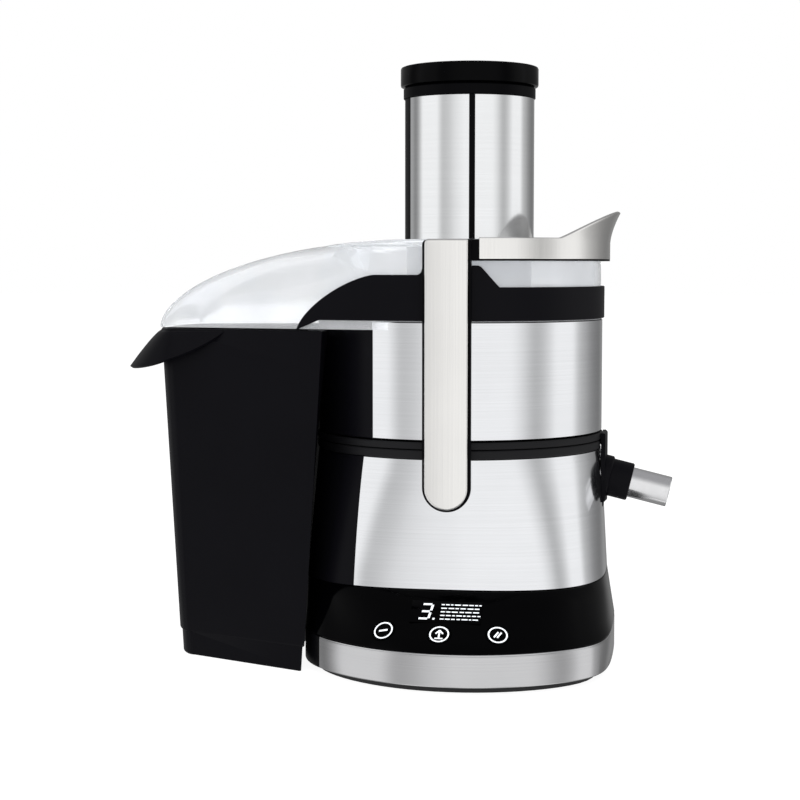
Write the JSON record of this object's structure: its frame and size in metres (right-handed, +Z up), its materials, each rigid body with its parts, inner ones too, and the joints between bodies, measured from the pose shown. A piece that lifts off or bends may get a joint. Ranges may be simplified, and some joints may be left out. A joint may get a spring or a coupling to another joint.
{
  "type": "centrifugal juicer",
  "caption": "Countertop centrifugal juicer with motor base, lift-off bowl and sieve basket, clear lid with feed chute, pusher, locking bail, spout and pulp bin.",
  "frame": {"origin": "where the spindle axis meets the table, on the plane of the rubber foot ring", "axes": "+Z up along the spindle, -Y towards the control panel, +X towards the juice spout"},
  "size_m": [0.3844, 0.2485, 0.4065],
  "materials": {
    "black_plastic": "satin black moulded plastic",
    "gloss_black": "high gloss black",
    "brushed_steel": "fine vertical brushing",
    "satin_steel": "satin, slightly warm",
    "bright_steel": "polished stainless steel",
    "clear_plastic": "clear moulded polycarbonate",
    "rubber": "matt",
    "iron": "laminated or cast",
    "copper": "enamelled copper wire",
    "brass": "pressed brass",
    "carbon": "graphite",
    "board": "circuit board",
    "frosted_plastic": "translucent white moulded plastic"
  },
  "bodies": {
    "base": {"foot_ring": "rubber", "base_plate": "black_plastic", "base_screws": "bright_steel", "base_tray": "black_plastic", "base_skirt": "brushed_steel", "control_panel": "gloss_black", "display_window": "gloss_black", "display_board": "board", "button_boards": "board", "motor_frame": "black_plastic", "housing_shell": "brushed_steel", "housing_side_panel": "black_plastic", "housing_liner": "black_plastic", "housing_gasket": "rubber", "bail_pins": "bright_steel", "interlock_switch": "black_plastic", "cord_gland": "rubber", "shaft_seal": "rubber", "upper_bearing": "bright_steel", "lower_bearing": "bright_steel", "upper_bracket": "iron", "lower_bracket": "iron", "motor_bolts": "bright_steel", "motor_mounts": "rubber", "stator_core": "iron", "stator_windings": "copper", "brush_holders": "brass", "carbon_brushes": "carbon"},
    "button_left": {"button_left": "gloss_black"},
    "button_middle": {"button_middle": "gloss_black"},
    "button_right": {"button_right": "gloss_black"},
    "rotor": {"motor_shaft": "bright_steel", "armature": "iron", "commutator": "copper", "cooling_fan": "black_plastic", "drive_coupling": "black_plastic"},
    "basket": {"filter_basket": "brushed_steel", "grater_disc": "brushed_steel", "basket_hub": "black_plastic"},
    "bowl": {"juice_bowl": "black_plastic", "bowl_sleeve": "brushed_steel", "bowl_seam_ring": "rubber", "bowl_gasket": "rubber", "spout_socket": "black_plastic", "spout_tube": "bright_steel"},
    "lid": {"lid_cover": "clear_plastic", "lid_rim": "black_plastic", "chute_tube": "frosted_plastic", "chute_sleeve": "brushed_steel", "chute_stripe": "black_plastic"},
    "pusher": {"pusher_body": "black_plastic", "pusher_cap": "gloss_black"},
    "bail": {"bail_core": "black_plastic", "bail_arm_front": "satin_steel", "bail_arm_rear": "satin_steel", "bail_band": "satin_steel"},
    "bin": {"bin_body": "black_plastic", "bin_lip": "black_plastic"}
  },
  "joints": [
    {"name": "spindle", "type": "hinge", "parent": "base", "child": "rotor", "pos_m": [0, 0, 0.11], "axis": [0, 0, 1], "continuous": true},
    {"name": "bowl_lift", "type": "slide", "parent": "base", "child": "bowl", "axis": [0, 0, 1], "range_m": [0, 0.06]},
    {"name": "basket_lift", "type": "slide", "parent": "rotor", "child": "basket", "axis": [0, 0, 1], "range_m": [0, 0.06]},
    {"name": "lid_lift", "type": "slide", "parent": "bowl", "child": "lid", "axis": [0, 0, 1], "range_m": [0, 0.08]},
    {"name": "pusher_lift", "type": "slide", "parent": "lid", "child": "pusher", "axis": [0, 0, 1], "range_m": [0, 0.15]},
    {"name": "bail_swing", "type": "hinge", "parent": "base", "child": "bail", "pos_m": [0.004, 0, 0.1275], "axis": [0, 1, 0], "range_deg": [0, 88]},
    {"name": "bin_slide", "type": "slide", "parent": "base", "child": "bin", "axis": [-1, 0, 0], "range_m": [0, 0.14]},
    {"name": "press_left", "type": "slide", "parent": "base", "child": "button_left", "axis": [0.2196, 0.6644, -0.7144], "range_m": [0, 0.001], "stiffness_N_per_m": 600},
    {"name": "press_middle", "type": "slide", "parent": "base", "child": "button_middle", "axis": [0.0253, 0.6273, -0.7784], "range_m": [0, 0.001], "stiffness_N_per_m": 600},
    {"name": "press_right", "type": "slide", "parent": "base", "child": "button_right", "axis": [-0.1554, 0.63, -0.7609], "range_m": [0, 0.001], "stiffness_N_per_m": 600}
  ],
  "couplings": [
    {"joint": "basket_lift", "follows": "bowl_lift", "ratio": 1}
  ]
}
